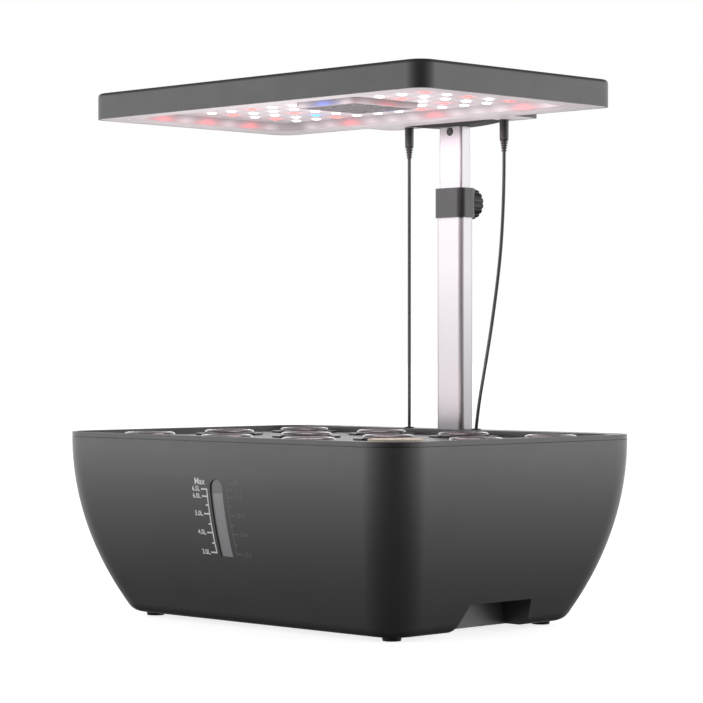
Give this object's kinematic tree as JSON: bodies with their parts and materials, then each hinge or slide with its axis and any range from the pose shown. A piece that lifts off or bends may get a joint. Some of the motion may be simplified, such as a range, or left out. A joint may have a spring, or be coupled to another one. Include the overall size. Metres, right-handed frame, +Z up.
{
  "type": "countertop hydroponic garden",
  "caption": "Countertop hydroponic garden: boat-shaped water tank, lift-off deck with pods, and a flat grow lamp on a telescopic mast.",
  "frame": {"origin": "on the table, under the middle of the whole object's plan; the tank's middle is 4.65 mm further forward", "axes": "+Z up, -Y is the front with the level window, X along the tank's long side"},
  "size_m": [0.355, 0.2708, 0.3949],
  "materials": {
    "charcoal_abs": "satin moulded ABS, charcoal",
    "deck_abs": "satin moulded ABS, charcoal",
    "lamp_abs": "satin moulded ABS, charcoal",
    "clear_window": "smoked clear plastic",
    "rubber": "matt black rubber",
    "anodised": "silver anodised extrusion",
    "black_gloss": "black moulded nylon",
    "black_matte": "black moulded plastic",
    "bezel_grey": "pale grey moulded plastic",
    "frosted": "frosted reflector sheet",
    "board_white": "white solder mask",
    "led_lens": "LED phosphor and lens",
    "timer_green": "circuit board",
    "fan_grey": "grey moulded grille",
    "fan_black": "black moulded fan",
    "cap_clear": "translucent silver-pink cap",
    "basket_black": "black polypropylene",
    "steel": "zinc-plated screw",
    "cord_pvc": "black soft PVC"
  },
  "bodies": {
    "tank": {"water_tank": "charcoal_abs", "level_window": "clear_window", "rubber_feet": "rubber"},
    "deck": {"grow_deck": "deck_abs", "cord_grommets": "rubber", "mast_outer_tube": "anodised", "mast_socket": "black_matte", "mast_collar": "black_gloss", "pump_casing": "black_matte", "left_cord": "cord_pvc", "right_cord": "cord_pvc"},
    "lamp": {"mast_inner_tube": "anodised", "lamp_housing": "lamp_abs", "lamp_bezel": "bezel_grey", "tube_bracket": "black_matte", "reflector_tray": "frosted", "led_board": "board_white", "led_emitters": "led_lens", "timer_board": "timer_green", "fan_duct": "frosted", "fan_grille": "fan_grey", "fan_frame": "fan_black", "cord_plugs": "cord_pvc"},
    "fan": {"fan_rotor": "fan_black"},
    "impeller": {"pump_impeller": "black_matte"},
    "button": {"lock_button": "black_gloss"},
    "knob": {"clamp_knob": "black_matte"},
    "screw": {"clamp_screw": "steel"},
    "pod_01": {"pod_basket_01": "basket_black", "pod_cap_01": "cap_clear"},
    "pod_02": {"pod_basket_02": "basket_black", "pod_cap_02": "cap_clear"},
    "pod_03": {"pod_basket_03": "basket_black", "pod_cap_03": "cap_clear"},
    "pod_04": {"pod_basket_04": "basket_black"},
    "pod_05": {"pod_basket_05": "basket_black", "pod_cap_05": "cap_clear"},
    "pod_06": {"pod_basket_06": "basket_black", "pod_cap_06": "cap_clear"},
    "pod_07": {"pod_basket_07": "basket_black", "pod_cap_07": "cap_clear"},
    "pod_08": {"pod_basket_08": "basket_black", "pod_cap_08": "cap_clear"},
    "pod_09": {"pod_basket_09": "basket_black", "pod_cap_09": "cap_clear"},
    "pod_10": {"pod_basket_10": "basket_black", "pod_cap_10": "cap_clear"},
    "pod_11": {"pod_basket_11": "basket_black", "pod_cap_11": "cap_clear"},
    "pod_12": {"pod_basket_12": "basket_black", "pod_cap_12": "cap_clear"}
  },
  "joints": [
    {"name": "deck_lift", "type": "slide", "parent": "tank", "child": "deck", "axis": [0, 0, 1], "range_m": [0, 0.15]},
    {"name": "mast_slide", "type": "slide", "parent": "deck", "child": "lamp", "axis": [0, 0, 1], "range_m": [-0.04, 0.05], "deforming": ["left_cord", "right_cord"]},
    {"name": "fan_spin", "type": "hinge", "parent": "lamp", "child": "fan", "pos_m": [0.0113, -0.00305, 0.387], "axis": [0, 0, 1], "continuous": true},
    {"name": "impeller_spin", "type": "hinge", "parent": "deck", "child": "impeller", "pos_m": [0, 0.05735, 0.055], "axis": [0, 0, 1], "continuous": true},
    {"name": "button_press", "type": "slide", "parent": "lamp", "child": "button", "axis": [0, 1, 0], "range_m": [0, 0.002], "stiffness_N_per_m": 300, "springref_m": -0.001},
    {"name": "knob_turn", "type": "hinge", "parent": "deck", "child": "knob", "pos_m": [0, 0.12535, 0.3138], "axis": [0, 1, 0], "range_deg": [0, 540]},
    {"name": "clamp_slide", "type": "slide", "parent": "deck", "child": "screw", "axis": [0, 1, 0], "range_m": [0, 0.0012]},
    {"name": "pod_lift_01", "type": "slide", "parent": "deck", "child": "pod_01", "axis": [0, 0, 1], "range_m": [0, 0.06]},
    {"name": "pod_lift_02", "type": "slide", "parent": "deck", "child": "pod_02", "axis": [0, 0, 1], "range_m": [0, 0.06]},
    {"name": "pod_lift_03", "type": "slide", "parent": "deck", "child": "pod_03", "axis": [0, 0, 1], "range_m": [0, 0.06]},
    {"name": "pod_lift_04", "type": "slide", "parent": "deck", "child": "pod_04", "axis": [0, 0, 1], "range_m": [0, 0.06]},
    {"name": "pod_lift_05", "type": "slide", "parent": "deck", "child": "pod_05", "axis": [0, 0, 1], "range_m": [0, 0.06]},
    {"name": "pod_lift_06", "type": "slide", "parent": "deck", "child": "pod_06", "axis": [0, 0, 1], "range_m": [0, 0.06]},
    {"name": "pod_lift_07", "type": "slide", "parent": "deck", "child": "pod_07", "axis": [0, 0, 1], "range_m": [0, 0.06]},
    {"name": "pod_lift_08", "type": "slide", "parent": "deck", "child": "pod_08", "axis": [0, 0, 1], "range_m": [0, 0.06]},
    {"name": "pod_lift_09", "type": "slide", "parent": "deck", "child": "pod_09", "axis": [0, 0, 1], "range_m": [0, 0.06]},
    {"name": "pod_lift_10", "type": "slide", "parent": "deck", "child": "pod_10", "axis": [0, 0, 1], "range_m": [0, 0.06]},
    {"name": "pod_lift_11", "type": "slide", "parent": "deck", "child": "pod_11", "axis": [0, 0, 1], "range_m": [0, 0.06]},
    {"name": "pod_lift_12", "type": "slide", "parent": "deck", "child": "pod_12", "axis": [0, 0, 1], "range_m": [0, 0.06]}
  ],
  "couplings": [
    {"joint": "clamp_slide", "follows": "knob_turn", "m_per_rad": 0.00012732}
  ]
}
